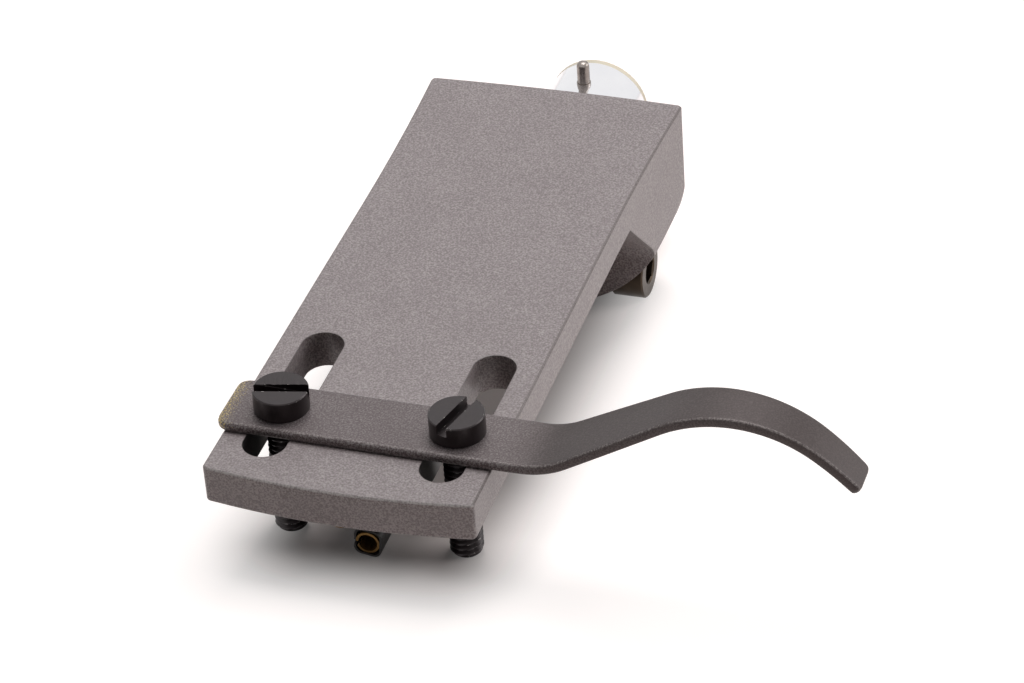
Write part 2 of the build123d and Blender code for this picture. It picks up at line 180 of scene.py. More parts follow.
def lay_over(paint, mask, colour, **settings):
    """Mixes a colour over the paint's own, as far as the mask says."""
    base = paint.shader.inputs["Base Color"]
    mixed = add_node(paint.tree, "ShaderNodeMix",
                     {0: mask, 6: base.links[0].from_socket, 7: linear(colour)},
                     data_type="RGBA", **settings)
    paint.tree.links.new(mixed.outputs[2], base)


# Metallic acrylic sprayed on die-cast alloy: a soft satin grey with fine pale and dark specks that
# sparkle. Real flakes are under 0.05 mm, too fine to show, so they are drawn about three times as wide
# Its forward edges get a pale painted highlight and its other edges a darker tone
shell_paint = flake_paint("grey_flake_paint_on_diecast", dark="#746969", mid="#8C8182", light="#AAA09F",
                          other_edge_tone="#5C5250", edge_highlight="#B5AEAC",
                          flake_width=0.14 * MM, edge_width=0.12 * MM, break_band=0.08)
# The walls at the slots' front ends, under the lift, are painted dark as shade. That lies where a normal's
# Z is small, within the slots' width and short of the plate's front face
wall_from, wall_full = 0.5, 0.2
slots_end_x, slots_full_x = 8.3 * MM, 7.9 * MM
shade_from_y, shade_full_y = -41 * MM, -45 * MM
front_face_y = -49.5 * MM
tree = shell_paint.tree
where = add_node(tree, "ShaderNodeSeparateXYZ", {"Vector": shell_paint.place})
true_face = add_node(tree, "ShaderNodeNewGeometry").outputs["True Normal"]
facing = add_node(tree, "ShaderNodeSeparateXYZ", {"Vector": true_face})
upright = add_node(tree, "ShaderNodeMath", {0: facing.outputs["Z"]}, operation="ABSOLUTE")
on_wall = add_node(tree, "ShaderNodeMapRange",
                   {"Value": upright.outputs[0], "From Min": wall_from, "From Max": wall_full})
from_middle = add_node(tree, "ShaderNodeMath", {0: where.outputs["X"]}, operation="ABSOLUTE")
in_plate = add_node(tree, "ShaderNodeMapRange",
                    {"Value": from_middle.outputs[0], "From Min": slots_end_x, "From Max": slots_full_x})
to_end = add_node(tree, "ShaderNodeMapRange",
                  {"Value": where.outputs["Y"], "From Min": shade_from_y, "From Max": shade_full_y})
short_of_front = add_node(tree, "ShaderNodeMath", {0: where.outputs["Y"], 1: front_face_y},
                          operation="GREATER_THAN")
slot_shade = to_end.outputs["Result"]
for mask in (on_wall.outputs["Result"], in_plate.outputs["Result"], short_of_front.outputs[0]):
    slot_shade = add_node(tree, "ShaderNodeMath", {0: slot_shade, 1: mask}, operation="MULTIPLY").outputs[0]
# The painted shade on the slots' front-end walls
lay_over(shell_paint, slot_shade, "#191413")
dress(["shell_body"], shell_paint.material)


# Bayonet plug. A drawn brass tube, polished and chromed, pressed into the
# block's bore and pinched there by the clamp screw.


def plain_metal(name, base, worn, roughness, patch_width, spread=0.06):
    """Bare or plated metal: its colour and its polish drift a little from patch to patch."""
    material, tree, output, place = start_material(name)
    patches = add_node(tree, "ShaderNodeTexNoise",
                       {"Vector": place, "Scale": 1 / patch_width, "Detail": 4.0})
    tint = add_node(tree, "ShaderNodeMix", {0: patches.outputs["Fac"], 6: linear(base), 7: linear(worn)},
                    data_type="RGBA")
    polish = add_node(tree, "ShaderNodeMapRange",
                      {"Value": patches.outputs["Fac"],
                       "To Min": roughness - spread, "To Max": roughness + spread})
    shader = add_node(tree, "ShaderNodeBsdfPrincipled",
                      {"Base Color": tint.outputs[2], "Roughness": polish.outputs["Result"],
                       "Metallic": 1.0})
    tree.links.new(shader.outputs["BSDF"], output.inputs["Surface"])
    return material


# Chrome plate buffed to a near mirror: long clear reflections, a little hazed in patches as wide as a
# buffing wheel leaves them
chrome = plain_metal("polished_chrome_plate", "#F3F2F3", "#E4E4E8", 0.12, 3.0 * MM, 0.04)
dress(["plug_tube"], chrome)


# Locating pin. A turned steel pin with a small collar, driven into the tube,
# that keys the plug in the tonearm's socket.

# Turned steel: small soft glints between darker marks. The cutter's own lines are too fine to show, so
# the marks are drawn a few tenths of a millimetre wide
pin_steel = plain_metal("turned_steel", "#A59D98", "#6E6661", 0.28, 0.4 * MM)
dress(["locating_pin"], pin_steel)


# Insulator. A moulded cream plastic core that holds the contacts, with a rim
# that faces the tube's end.
ripple_height = 0.02 * MM


def plastic(name, base, shade, roughness, patch_width):
    """Moulded plastic or rubber: an even colour that drifts slightly, and a soft gloss."""
    material, tree, output, place = start_material(name)
    patches = add_node(tree, "ShaderNodeTexNoise",
                       {"Vector": place, "Scale": 1 / patch_width, "Detail": 3.0})
    tint = add_node(tree, "ShaderNodeMix", {0: patches.outputs["Fac"], 6: linear(base), 7: linear(shade)},
                    data_type="RGBA")
    skin = add_node(tree, "ShaderNodeBump",
                    {"Height": patches.outputs["Fac"], "Strength": 0.1, "Distance": ripple_height})
    shader = add_node(tree, "ShaderNodeBsdfPrincipled",
                      {"Base Color": tint.outputs[2], "Normal": skin.outputs["Normal"],
                       "Roughness": roughness})
    tree.links.new(shader.outputs["BSDF"], output.inputs["Surface"])
    return material


# Moulded cream plastic: a pale, even face with a soft gloss and the faint ripple of its mould, which is
# just under a millimetre from crest to crest
cream_plastic = plastic("moulded_cream_plastic", "#EFE6D2", "#E6DAC2", 0.35, 0.8 * MM)
dress(["plug_insulator"], cream_plastic)


# Contacts. Four turned brass pins held in the insulator, gold-plated so that
# their round noses and their tails don't tarnish.
corners = ("upper_left", "upper_right", "lower_left", "lower_right")
# Gold plate on turned brass: warm yellow glints with a slight haze. The plate's grain is too fine to
# show, so its patches are drawn half a millimetre wide
contact_gold = plain_metal("gold_plated_brass", "#E2BD6E", "#CFA456", 0.22, 0.5 * MM)
dress(["contact_" + name for name in corners], contact_gold)


# Washer. A thin ring of black rubber, cut from sheet and pushed over the plug's
# root, that seats the shell on the tonearm.

# Black rubber: dull, with hardly a highlight, and a sheet's slight unevenness half a millimetre wide
black_rubber = plastic("black_rubber", "#201F20", "#2B2A2A", 0.75, 0.5 * MM)
dress(["seal_washer"], black_rubber)


# Clamp screw. A small socket-head cap screw that lies across the block under
# the plug and pinches the slit.

# Browned steel: a dark brown that still gleams like metal. The browning's grain is too fine to show, so
# its patches are drawn 0.6 mm wide
clamp_steel = plain_metal("browned_steel", "#50453B", "#332B24", 0.38, 0.6 * MM)
dress(["clamp_screw"], clamp_steel)


# Lead clips. Eight spring barrels rolled from thin gold-plated sheet, each with
# a slit along its barrel, a neck and a crimp that was pinched onto the wire.
clip_sides = 40
clip_radius = 0.86 * MM
clip_crimp_radius = 0.61 * MM
clip_sheet = 0.17 * MM
# Along a clip: mm from its mouth, and 1 where it is as wide as the barrel to 0 where it is the crimp
clip_stations = ((0.0, 1.0), (0.12, 0.975), (0.8, 0.97), (3.7, 0.97), (4.1, 0.9), (4.8, 0.0), (6.4, 0.0))
slit_middle = radians(190)
slit_half_angle = radians(14)
crimp_half_angle = radians(4)


def join_rows(mesh, rows, closed):
    """Quads between each row of points and the next."""
    for low, high in zip(rows, rows[1:]):
        for i in range(len(low) if closed else len(low) - 1):
            j = (i + 1) % len(low)
            mesh.faces.new((low[i], low[j], high[j], high[i]))


def show_mesh(name, mesh, material, node_name, sheet=None):
    """Turns a bmesh into a piece that replaces a CAD node; sheet gives it a thickness inwards."""
    if not sheet:
        bmesh.ops.recalc_face_normals(mesh, faces=mesh.faces)
    data = bpy.data.meshes.new(name)
    mesh.to_mesh(data)
    mesh.free()
    data.materials.append(material)
    piece = bpy.data.objects.new(name, data)
    bpy.context.scene.collection.objects.link(piece)
    if sheet:
        thick = piece.modifiers.new("sheet", "SOLIDIFY")
        thick.thickness = sheet
        thick.offset = -1.0
    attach(piece, "root")
    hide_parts(node_name)
    return piece


def mouth_of(node_name, faces_front):
    """Where a clip's open end is, and which way its length runs from there."""
    low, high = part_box(node_name)
    centre_x, centre_z = (low[0] + high[0]) / 2, (low[2] + high[2]) / 2
    return (centre_x, low[1], centre_z, 1) if faces_front else (centre_x, high[1], centre_z, -1)


# Thin gold plate dulled by handling: brownish yellow with a blurred shine. The rolled sheet's grain is too
# fine to show, so its patches are drawn 0.4 mm wide
clip_gold = plain_metal("dull_gold_plate", "#957547", "#6A5030", 0.45, 0.4 * MM)
on_wire = {name: [] for name in corners}
for end in ("rear", "front"):
    for name in corners:
        x, y, z, run = mouth_of(end + "_clip_" + name, end == "front")
        mesh = bmesh.new()
        rows = []
        for along, share in clip_stations:
            radius = clip_crimp_radius + (clip_radius - clip_crimp_radius) * share
            gap = crimp_half_angle + (slit_half_angle - crimp_half_angle) * share
            row = []
            for i in range(clip_sides + 1):
                angle = slit_middle + gap + (2 * pi - 2 * gap) * i / clip_sides
                place_y = y + run * along * MM
                row.append(mesh.verts.new((x + radius * cos(angle), place_y, z + radius * sin(angle))))
            rows.append(row)
        # The winding faces outwards whichever way the clip runs, so that the sheet thickens inwards
        join_rows(mesh, rows[::-run], closed=False)
        clip = show_mesh("clip_" + end + "_" + name, mesh, clip_gold, end + "_clip_" + name,
                         clip_sheet)
        on_wire[name].append(clip)


# Clip sleeves. Short lengths of black vinyl tube pushed over the clips; the
# barrel inside and the cutter have left each end a little square.
sleeve_sides = 72
sleeve_round = 1.16 * MM
sleeve_wall = 0.16 * MM
# Shares of the length, close together at the mouth, where the square end fades out
sleeve_stations = (0.0, 0.03, 0.07, 0.15, 0.3, 0.5, 0.7, 0.85, 1.0)
corner_height = 0.1 * MM
flats_pulled_in = 0.4
# How far each square mouth is turned, in degrees, and which sleeves have slipped back along their clips
mouth_turns = {"upper_left": 241, "upper_right": 204, "lower_left": 167, "lower_right": 130}
slipped_back = {"lower_left": 0.45 * MM, "upper_right": 0.2 * MM}
# The mouth is cut a little askew, and has split over the clip's slit
askew_cut = 0.12 * MM
split_depth = 0.45 * MM
split_half_angle = radians(13)
# Black vinyl tube: a deep black with a low gloss and a ripple as fine as its thin wall gives
sleeve_black = plastic("black_vinyl_sleeve", "#0D0A0A", "#151111", 0.55, 0.4 * MM)
for end in ("rear", "front"):
    for name in corners:
        x, y, z, run = mouth_of(end + "_clip_" + name, end == "front")
        low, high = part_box(end + "_sleeve_" + name)
        far_y = high[1] if run > 0 else low[1]
        y += run * slipped_back.get(name, 0.0)
        turned = radians(mouth_turns[name])
        mesh = bmesh.new()
        rows = []
        for along in sleeve_stations:
            square = 1 - along
            row = []
            for i in range(sleeve_sides):
                angle = 2 * pi * i / sleeve_sides
                corner = cos(4 * (angle - turned)) - flats_pulled_in
                radius = sleeve_round + corner_height * square * corner
                split = split_depth * max(0.0, 1 - abs(angle - slit_middle) / split_half_angle)
                slant = square ** 4 * (askew_cut * cos(angle - turned) + split)
                place_y = y + (far_y - y) * along + run * slant
                row.append(mesh.verts.new((x + radius * cos(angle), place_y, z + radius * sin(angle))))
            rows.append(row)
        join_rows(mesh, rows[::-run], closed=True)
        sleeve = show_mesh("sleeve_" + end + "_" + name, mesh, sleeve_black, end + "_sleeve_" + name,
                           sleeve_wall)
        on_wire[name].append(sleeve)


# Lead wires. Four thin stranded leads in coloured vinyl, crimped into the clips
# at both ends, with a little slack that bows out to the left and the right.
wire_diameter = 0.8 * MM
# Each route in mm, from its front clip to its rear clip
wire_routes = {
    "lower_right": [(0.17, -40.54, -0.33), (0.17, -37.94, -0.33), (-2.26, -34.94, -0.68),
                    (-5.57, -30.01, -1.63), (-3.97, -24.66, -2.09), (0.63, -19.52, -1.75),
                    (1.4, -16.52, -1.4), (1.4, -13.72, -1.4)],
    "lower_left": [(-1.8, -40.54, 1.5), (-1.8, -37.94, 1.5), (-4.74, -34.94, 1.19),
                   (-7.65, -30.01, 0.33), (-6.95, -24.45, -0.63), (-3.55, -19.30, -1.12),
                   (-1.4, -16.52, -1.4), (-1.4, -13.72, -1.4)],
    "upper_right": [(2.2, -40.1, 2.9), (2.2, -37.5, 2.9), (2.87, -34.14, 3.36),
                    (6.89, -29.32, 3.72), (8.10, -24.49, 3.47), (5.43, -19.88, 2.44),
                    (1.4, -16.52, 1.4), (1.4, -13.72, 1.4)],
    "upper_left": [(-0.1, -39.9, 3.2), (-0.1, -37.3, 3.2), (-3.40, -34.18, 3.03),
                   (-7.19, -29.40, 2.72), (-7.12, -24.21, 2.47), (-3.83, -19.22, 1.83),
                   (-1.4, -16.52, 1.4), (-1.4, -13.72, 1.4)],
}
# Coloured vinyl drawn over the strands: even and softly glossy, each lead in its channel's colour, with
# a slight waviness half a millimetre wide where the strands press through
wire_colours = {
    "lower_right": ("green", "#2E7A45", "#276B3C"),
    "lower_left": ("blue", "#2B4F9E", "#25458B"),
    "upper_right": ("red", "#B32A2A", "#9C2222"),
    "upper_left": ("white", "#E8E6E0", "#D8D5CE"),
}
for name, route in wire_routes.items():
    colour, base, shade = wire_colours[name]
    line = bpy.data.curves.new("wire_" + name, "CURVE")
    line.dimensions = "3D"
    line.bevel_depth = wire_diameter / 2
    line.bevel_resolution = 4
    line.use_fill_caps = True
    spline = line.splines.new("NURBS")
    spline.points.add(len(route) - 1)
    for point, (x, y, z) in zip(spline.points, route):
        point.co = (x * MM, y * MM, z * MM, 1.0)
    spline.order_u = 3
    spline.use_endpoint_u = True
    spline.resolution_u = 12
    line.materials.append(plastic(colour + "_vinyl_wire", base, shade, 0.42, 0.5 * MM))
    wire = bpy.data.objects.new("wire_" + name, line)
    bpy.context.scene.collection.objects.link(wire)
    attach(wire, "root")
    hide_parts("lead_wire_" + name)


# Finger lift. A strip of brass, cut, bent, filed round its edges and painted,
# held under both screws. Its paint is worn through in specks at the left end,
# and its arm is painted darker towards its tip and rear edge.

# Metallic acrylic sprayed on brass: the shell's kind of paint in a darker grey, with flakes that are drawn
# nearly as wide as the shell's for the same reason
# Its forward edges get a pale painted highlight and its other edges a darker tone
lift_paint = flake_paint("dark_flake_paint_on_brass", dark="#484041", mid="#605859", light="#847E7E",
                         other_edge_tone="#4A4240", edge_highlight="#A19A98",
                         flake_width=0.13 * MM, edge_width=0.1 * MM, break_band=0.0)
lift_paint.shader.inputs["Coat Weight"].default_value = 0.1
lift_paint.shader.inputs["Specular Tint"].default_value = linear("#FFEBE8")
tree = lift_paint.tree
where = add_node(tree, "ShaderNodeSeparateXYZ", {"Vector": lift_paint.place})
# The arm is painted darker from the plate's side outwards, most at its tip and along its rear edge
arm_from_x, arm_full_x = 9.5 * MM, 14 * MM
tip_from_x, tip_full_x = 27 * MM, 34 * MM
rear_from_y, rear_full_y = -44 * MM, -42.2 * MM
least_arm_darkening = 0.88
on_arm = add_node(tree, "ShaderNodeMapRange",
                  {"Value": where.outputs["X"], "From Min": arm_from_x, "From Max": arm_full_x},
                  interpolation_type="SMOOTHSTEP")
to_tip = add_node(tree, "ShaderNodeMapRange",
                  {"Value": where.outputs["X"], "From Min": tip_from_x, "From Max": tip_full_x})
to_rear = add_node(tree, "ShaderNodeMapRange",
                   {"Value": where.outputs["Y"], "From Min": rear_from_y, "From Max": rear_full_y})
tip_or_rear = add_node(tree, "ShaderNodeMath",
                        {0: to_tip.outputs["Result"], 1: to_rear.outputs["Result"]}, operation="MAXIMUM")
darkness = add_node(tree, "ShaderNodeMapRange",
                    {"Value": tip_or_rear.outputs[0], "To Min": least_arm_darkening})
arm_darkening = add_node(tree, "ShaderNodeMath", {0: on_arm.outputs["Result"], 1: darkness.outputs["Result"]},
                  operation="MULTIPLY")
lay_over(lift_paint, arm_darkening.outputs[0], "#6E6562", blend_type="MULTIPLY")
# The filed front edge carries a pale painted highlight in specks: a normal's Y there, and how far it may
# differ
filed_edge_y, filed_edge_band = -0.4, 0.25
pale_from, pale_full = 0.44, 0.6
least_pale, most_pale = 0.12, 0.5
facing = add_node(tree, "ShaderNodeSeparateXYZ",
                  {"Vector": add_node(tree, "ShaderNodeNewGeometry").outputs["Normal"]})
on_filed_edge = add_node(tree, "ShaderNodeMath",
                         {0: facing.outputs["Y"], 1: filed_edge_y, 2: filed_edge_band},
                         operation="COMPARE")
specked = add_node(tree, "ShaderNodeMapRange",
                   {"Value": lift_paint.flakes, "From Min": pale_from, "From Max": pale_full,
                    "To Min": least_pale, "To Max": most_pale})
edge_highlight_mask = add_node(tree, "ShaderNodeMath", {0: on_filed_edge.outputs[0], 1: specked.outputs["Result"]},
                  operation="MULTIPLY")
# Lays the painted highlight on the front edge
lay_over(lift_paint, edge_highlight_mask.outputs[0], "#A19A98")
# Bare brass, tarnished in patches: dull yellow specks towards the left end. Real ones are finer still and
# are drawn a tenth of a millimetre wide, so that they show
worn_from_x, worn_full_x = -8.3 * MM, -10.1 * MM
least_worn, most_worn = -0.3, 0.07
speck_width = 0.1 * MM
speck_from, speck_full = 0.54, 0.6
tarnish_width = 0.25 * MM
near_end = add_node(tree, "ShaderNodeMapRange",
                    {"Value": where.outputs["X"], "From Min": worn_from_x, "From Max": worn_full_x,
                     "To Min": least_worn, "To Max": most_worn})
specks = add_node(tree, "ShaderNodeTexNoise",
                  {"Vector": lift_paint.place, "Scale": 1 / speck_width, "Detail": 1.0})
worn_height = add_node(tree, "ShaderNodeMath", {0: specks.outputs["Fac"], 1: near_end.outputs["Result"]},
                       operation="ADD")
worn_through = add_node(tree, "ShaderNodeMapRange",
                        {"Value": worn_height.outputs[0], "From Min": speck_from, "From Max": speck_full})
tarnish = add_node(tree, "ShaderNodeTexNoise",
                   {"Vector": lift_paint.place, "Scale": 1 / tarnish_width, "Detail": 2.0})
brass_tint = add_node(tree, "ShaderNodeMix",
                      {0: tarnish.outputs["Fac"], 6: linear("#85744A"), 7: linear("#CDBB8C")},
                      data_type="RGBA")
bare_brass = add_node(tree, "ShaderNodeBsdfPrincipled",
                      {"Base Color": brass_tint.outputs[2], "Metallic": 1.0, "Roughness": 0.35})
worn_mix = add_node(tree, "ShaderNodeMixShader",
                    {0: worn_through.outputs["Result"], 1: lift_paint.shader.outputs["BSDF"],
                     2: bare_brass.outputs["BSDF"]})
tree.links.new(worn_mix.outputs[0], lift_paint.output.inputs["Surface"])

# The strip's sizes in mm. Its top starts at the left end and follows runs: a length, or a bend's radius
# and its turn in degrees, upwards where that is above zero
lift_start = (-10.24, 8.3)
lift_runs = ((21.97, 0.0), (5.67, 29.6), (7.47, 0.0), (9.93, -66.6), (20.1, -11.2))
lift_thick = 0.7
# From above: a place along X, the half width there and how fast it changes
lift_plan = ((9.23, 2.65, 0.0), (23.13, 1.985, -0.0539), (34.8, 1.38, -0.0778))
left_corner = 1.0
tip_corner = 0.5
filed_over = 0.3
filed_under = 0.2
# Points stand close together where the edge is filed, then further apart
edge_steps = (0.0, 0.015, 0.05, 0.1, 0.17, 0.24, 0.31, 0.5)
inner_shares = (-0.5, -0.25, 0.0, 0.25, 0.5)
row_spacing = 0.35
least_spacing = 0.05
# The strip sits a little crooked under the screws
lift_middle_y = -0.1
lift_turn = radians(-0.5)
hole_radius = 1.25
hole_sides = 48
drill_length = 4.0
screw_spacing = 12.7
screw_row_y = -44.2


def lift_path():
    """Points (x, z, heading, distance) along the strip's top."""
    x, z = lift_start
    heading = distance = 0.0
    points = [(x, z, heading, distance)]
    for size, turn in lift_runs:
        length = size * abs(radians(turn)) if turn else size
        steps = round(length / row_spacing)
        for _ in range(steps):
            heading += radians(turn) / steps / 2
            step = 2 * size * sin(abs(radians(turn)) / steps / 2) if turn else length / steps
            x, z = x + step * cos(heading), z + step * sin(heading)
            heading += radians(turn) / steps / 2
            distance += length / steps
            points.append((x, z, heading, distance))
    return points


def half_width(x):
    """The strip's half width at x: straight, then a cubic taper through the plan's widths and slopes."""
    if x <= lift_plan[0][0]:
        return lift_plan[0][1]
    for (x0, w0, m0), (x1, w1, m1) in zip(lift_plan, lift_plan[1:]):
        if x <= x1:
            h = x1 - x0
            t = (x - x0) / h
            return ((1 + 2 * t) * (1 - t) ** 2 * w0 + t * (1 - t) ** 2 * h * m0
                    + t * t * (3 - 2 * t) * w1 - t * t * (1 - t) * h * m1)
    return lift_plan[-1][1] + lift_plan[-1][2] * (x - lift_plan[-1][0])


def filed_drop(from_side, from_end, radius):
    """How far a filed edge has dropped at these distances from the strip's side and end."""
    past_side = max(0.0, 1 - from_side / radius)
    past_end = max(0.0, 1 - from_end / radius)
    nearness = min(1.0, (past_side ** 2 + past_end ** 2) ** 0.5)
    return radius * (1 - (1 - nearness ** 2) ** 0.5)


path = lift_path()
total = path[-1][3]
first_x, first_z = lift_start
last_x, last_z, last_heading, _ = path[-1]
stations = [path[0], path[-1]]
for d in edge_steps[1:]:
    stations.append((first_x + d, first_z, 0.0, d))
    back_x, back_z = last_x - d * cos(last_heading), last_z - d * sin(last_heading)
    stations.append((back_x, back_z, last_heading, total - d))
clear = edge_steps[-1] + least_spacing
stations += [point for point in path[1:-1] if clear < point[3] < total - clear]
stations.sort(key=lambda point: point[3])
mesh = bmesh.new()
over, under = [], []
for x, z, heading, distance in stations:
    half = half_width(x)
    from_end = min(distance, total - distance)
    corner = left_corner if distance < total / 2 else tip_corner
    if from_end < corner:
        half -= corner - (corner ** 2 - (corner - from_end) ** 2) ** 0.5
    offsets = [d - half for d in edge_steps] + [half * share for share in inner_shares]
    offsets += [half - d for d in reversed(edge_steps)]
    for rows, depth, radius in ((over, 0.0, filed_over), (under, lift_thick, filed_under)):
        row = []
        for y in offsets:
            drop = abs(depth - filed_drop(half - abs(y), from_end, radius))
            px, py, pz = x + drop * sin(heading), y + lift_middle_y, z - drop * cos(heading)
            turned_x = px * cos(lift_turn) - py * sin(lift_turn)
            turned_y = px * sin(lift_turn) + py * cos(lift_turn) + screw_row_y
            row.append(mesh.verts.new((turned_x * MM, turned_y * MM, pz * MM)))
        rows.append(row)
join_rows(mesh, over, closed=False)
join_rows(mesh, under, closed=False)
for side in (0, -1):
    join_rows(mesh, [[row[side] for row in over], [row[side] for row in under]], closed=False)
    join_rows(mesh, [over[side], under[side]], closed=False)
for face in mesh.faces:
    face.smooth = True
drilled = bmesh.new()
for side in (-1, 1):
    hole = Matrix.Translation((side * screw_spacing / 2 * MM, screw_row_y * MM, first_z * MM))
    bmesh.ops.create_cone(drilled, cap_ends=True, segments=hole_sides, radius1=hole_radius * MM,
                          radius2=hole_radius * MM, depth=drill_length * MM, matrix=hole)
drill_mesh = bpy.data.meshes.new("drill")
drilled.to_mesh(drill_mesh)
drilled.free()
drill = bpy.data.objects.new("drill", drill_mesh)
bpy.context.scene.collection.objects.link(drill)
lift = show_mesh("lift_strip", mesh, lift_paint.material, "finger_lift")
cut = lift.modifiers.new("screw_holes", "BOOLEAN")
cut.object = drill
cut.solver = "EXACT"
lift.data = bpy.data.meshes.new_from_object(lift.evaluated_get(bpy.context.evaluated_depsgraph_get()))
lift.modifiers.clear()
bpy.data.objects.remove(drill)


# Cartridge screws. Two fully threaded cheese-head screws of blacked steel, cut
# from bar, with a rolled thread and a milled slot. They stand loose in the lift
# and the plate until a cartridge is put on, so each leans a little.
head_radius = 1.95 * MM
head_height = 1.6 * MM
head_edge = 0.07 * MM
head_sides = 96
slot_width = 0.8 * MM
slot_depth = 0.7 * MM
# The slot is cut across every 6% of the head's radius, so that the burr can rise and fall there
burr_cuts = 31
burr_first = -0.9
burr_step = 0.06
burr_rise = (-0.2, 1.0)
burr_sway = (-0.8, 0.8)
thread_radius = 1.2 * MM
thread_pitch = 0.45 * MM
thread_depth = 0.24 * MM
thread_length = 10.3 * MM
thread_sides = 40
rings_per_turn = 8
flank_slope = 2.4
crest_flat = 0.1
tip_bevel = 0.35 * MM
seat_z = first_z * MM
# Both screws stand this far to the right in their slots, in mm as their spacing is
screws_shift = 0.1
# Points this close to a plane, in metres, lie on it
on_plane = 1e-7
cut_tolerance = 1e-8


def ring(mesh, radius, z, count):
    """One closed row of points round the screw's axis."""
    steps = [2 * pi * i / count for i in range(count)]
    return [mesh.verts.new((radius * cos(a), radius * sin(a), z)) for a in steps]


def slotted_head(burr):
    """A cheese head with its slot along X; burr is how ragged the slot's far edge is."""
    mesh = bmesh.new()
    rows = [ring(mesh, radius, z, head_sides) for radius, z in
            ((head_radius - head_edge / 2, 0), (head_radius, head_edge / 2),
             (head_radius, head_height - head_edge), (head_radius - head_edge, head_height))]
    join_rows(mesh, rows, closed=True)
    mesh.faces.new(list(reversed(rows[0])))
    mesh.faces.new(rows[-1])
    floor_z = head_height - slot_depth
    half = slot_width / 2
    cuts = [((0, half, 0), (0, 1, 0)), ((0, -half, 0), (0, 1, 0)), ((0, 0, floor_z), (0, 0, 1))]
    cuts += [((head_radius * (burr_step * i + burr_first), 0, 0), (1, 0, 0)) for i in range(burr_cuts)]
    for centre, normal in cuts:
        everything = mesh.verts[:] + mesh.edges[:] + mesh.faces[:]
        bmesh.ops.bisect_plane(mesh, geom=everything, plane_co=centre, plane_no=normal,
                               dist=cut_tolerance)
    inside = []
    for face in mesh.faces:
        middle = face.calc_center_median()
        if abs(middle.y) < half - on_plane and middle.z > floor_z + on_plane:
            inside.append(face)
    bmesh.ops.delete(mesh, geom=inside, context="FACES")
    bmesh.ops.delete(mesh, geom=[v for v in mesh.verts if not v.link_faces], context="VERTS")
    level = head_height - slot_depth / 2
    for side in (-1, 1):
        wall = [v for v in mesh.verts
                if abs(v.co.y - side * half) < on_plane and v.co.z > floor_z - on_plane]
        wall.sort(key=lambda v: side * atan2(v.co.z - level, v.co.x))
        mesh.faces.new(wall)
    bottom = [v for v in mesh.verts
              if abs(v.co.z - floor_z) < on_plane and abs(v.co.y) < half + on_plane]
    bottom.sort(key=lambda v: atan2(v.co.y, v.co.x))
    mesh.faces.new(bottom)
    lip = [v for v in mesh.verts
           if abs(v.co.y - half) < on_plane and v.co.z > head_height - on_plane]
    for point in lip:
        point.co.z += random.uniform(*burr_rise) * burr
        point.co.y += random.uniform(*burr_sway) * burr
    return mesh


def threaded_shank(mesh):
    """A thread from the head's seat down to a bevelled tip, as rows that follow the helix."""
    rows = []
    count = round(thread_length / thread_pitch * rings_per_turn)
    for k in range(count + 1):
        z = -thread_length * k / count
        row = []
        for i in range(thread_sides):
            angle = 2 * pi * i / thread_sides
            turn = (z / thread_pitch - i / thread_sides) % 1.0
            groove = min(1.0, max(0.0, flank_slope * abs(turn - 0.5) - crest_flat))
            bevelled = thread_radius - tip_bevel + (z + thread_length)
            radius = min(thread_radius - thread_depth * groove, bevelled)
            row.append(mesh.verts.new((radius * cos(angle), radius * sin(angle), z)))
        rows.append(row)
    rows.reverse()
    join_rows(mesh, rows, closed=True)
    mesh.faces.new(list(reversed(rows[0])))
    mesh.faces.new(rows[-1])


# Blacked steel with a trace of oil: near black, with a soft sheen, faint tool marks and small bright
# chips where the edges have lost their black. The marks' own lines are too fine to show, so they are
# drawn half a millimetre wide
mark_width = 0.5 * MM
mark_height = 0.02 * MM
chip_width = 0.3 * MM
# Where the chips start and are full: a rounded normal's agreement with its flat face's, and the noise
chip_edge_from, chip_edge_full = 0.97, 0.85
chip_from, chip_full = 0.62, 0.68
screw_black, tree, output, place = start_material("blacked_steel")
marks = add_node(tree, "ShaderNodeTexNoise", {"Vector": place, "Scale": 1 / mark_width, "Detail": 4.0})
tint = add_node(tree, "ShaderNodeMix",
                {0: marks.outputs["Fac"], 6: linear("#040202"), 7: linear("#1D1617")}, data_type="RGBA")
tool_marks = add_node(tree, "ShaderNodeBump",
                      {"Height": marks.outputs["Fac"], "Strength": 0.15, "Distance": mark_height})
black = add_node(tree, "ShaderNodeBsdfPrincipled",
                 {"Base Color": tint.outputs[2], "Normal": tool_marks.outputs["Normal"], "Roughness": 0.32,
                  "Specular IOR Level": 0.42, "Specular Tint": linear("#FFF3F5")})
bare_steel = add_node(tree, "ShaderNodeBsdfPrincipled",
                      {"Base Color": linear("#CFCAC6"), "Roughness": 0.3, "Metallic": 1.0})
soft_edge = add_node(tree, "ShaderNodeBevel", {"Radius": head_edge}, samples=4)
true_face = add_node(tree, "ShaderNodeNewGeometry").outputs["True Normal"]
agreement = add_node(tree, "ShaderNodeVectorMath", {0: soft_edge.outputs["Normal"], 1: true_face},
                     operation="DOT_PRODUCT")
on_edge = add_node(tree, "ShaderNodeMapRange",
                   {"Value": agreement.outputs["Value"], "From Min": chip_edge_from,
                    "From Max": chip_edge_full})
chips = add_node(tree, "ShaderNodeTexNoise", {"Vector": place, "Scale": 1 / chip_width, "Detail": 2.0})
chipped = add_node(tree, "ShaderNodeMapRange",
                   {"Value": chips.outputs["Fac"], "From Min": chip_from, "From Max": chip_full})
is_bare = add_node(tree, "ShaderNodeMath", {0: on_edge.outputs["Result"], 1: chipped.outputs["Result"]},
                   operation="MULTIPLY")
worn_black = add_node(tree, "ShaderNodeMixShader",
                      {0: is_bare.outputs[0], 1: black.outputs["BSDF"], 2: bare_steel.outputs["BSDF"]})
